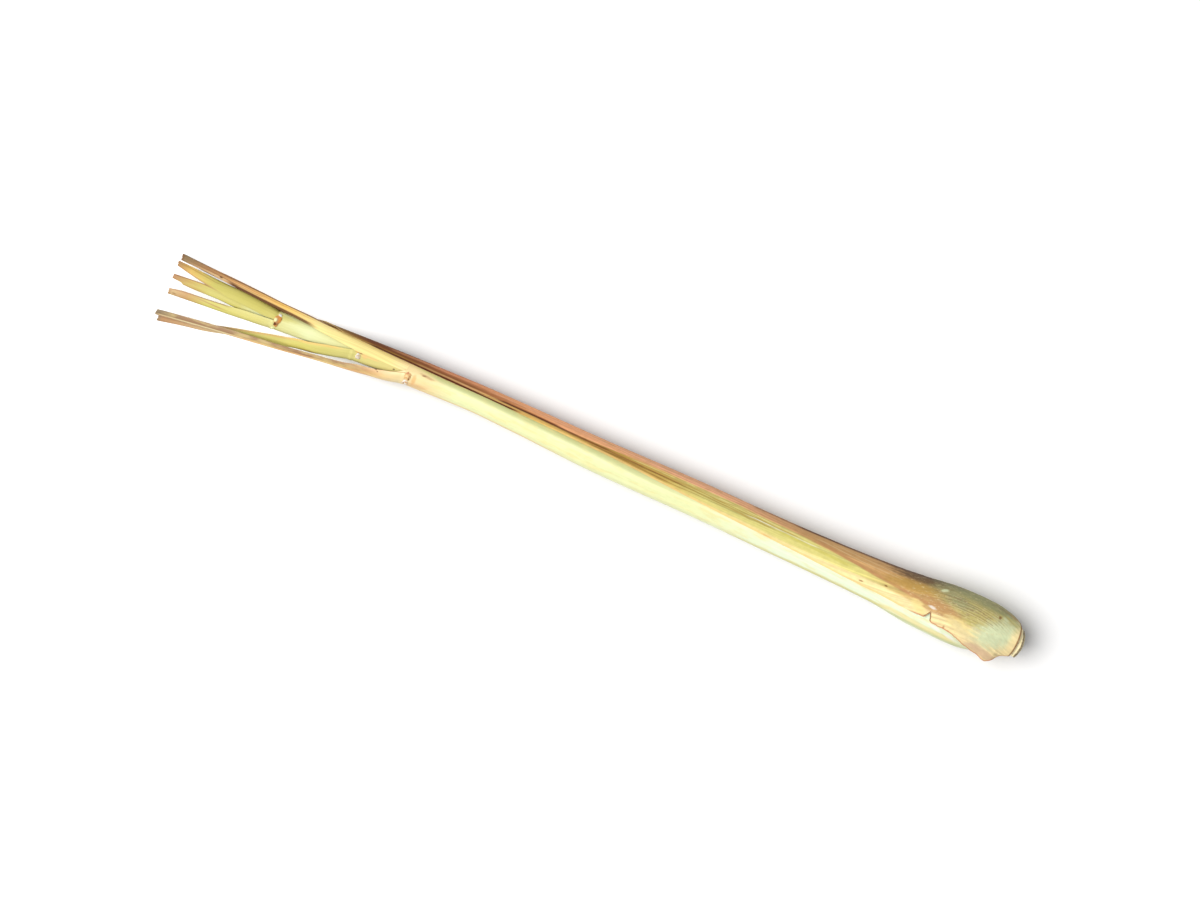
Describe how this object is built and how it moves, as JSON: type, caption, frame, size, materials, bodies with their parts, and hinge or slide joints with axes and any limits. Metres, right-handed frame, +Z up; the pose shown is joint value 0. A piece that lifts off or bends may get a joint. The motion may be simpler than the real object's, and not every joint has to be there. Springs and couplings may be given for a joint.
{
  "type": "lemongrass stalk",
  "caption": "Cut lemongrass stalk lying on its side: a swollen bulb with a torn dry outer sheath, nested pale sheaths with small collars, and a fan of folded leaf blades cut straight.",
  "frame": {"origin": "centre of the bounding box's underside, on the surface that the stalk lies on", "axes": "+X along the stalk to its cut root end, +Z up from the surface, +Y to the side where the outer leaf's midrib runs"},
  "size_m": [0.3629, 0.0302, 0.0235],
  "materials": {
    "outer_leaf": "dry, finely ribbed leaf",
    "pale_leaf": "fresh, smooth, waxy leaf",
    "top_leaf": "wilted, finely ribbed leaf",
    "lower_leaf": "fresh, finely ribbed leaf",
    "middle_leaf": "fresh, finely ribbed leaf",
    "inner_leaf": "fresh, finely ribbed leaf",
    "heart_leaf": "fresh, finely ribbed leaf",
    "stem_base": "cut, fibrous stem"
  },
  "bodies": {
    "root": {"outer_leaf": "outer_leaf", "pale_leaf": "pale_leaf", "top_leaf": "top_leaf", "lower_leaf": "lower_leaf", "middle_leaf": "middle_leaf", "inner_leaf": "inner_leaf", "heart_leaf": "heart_leaf", "stem_base": "stem_base"}
  },
  "joints": []
}
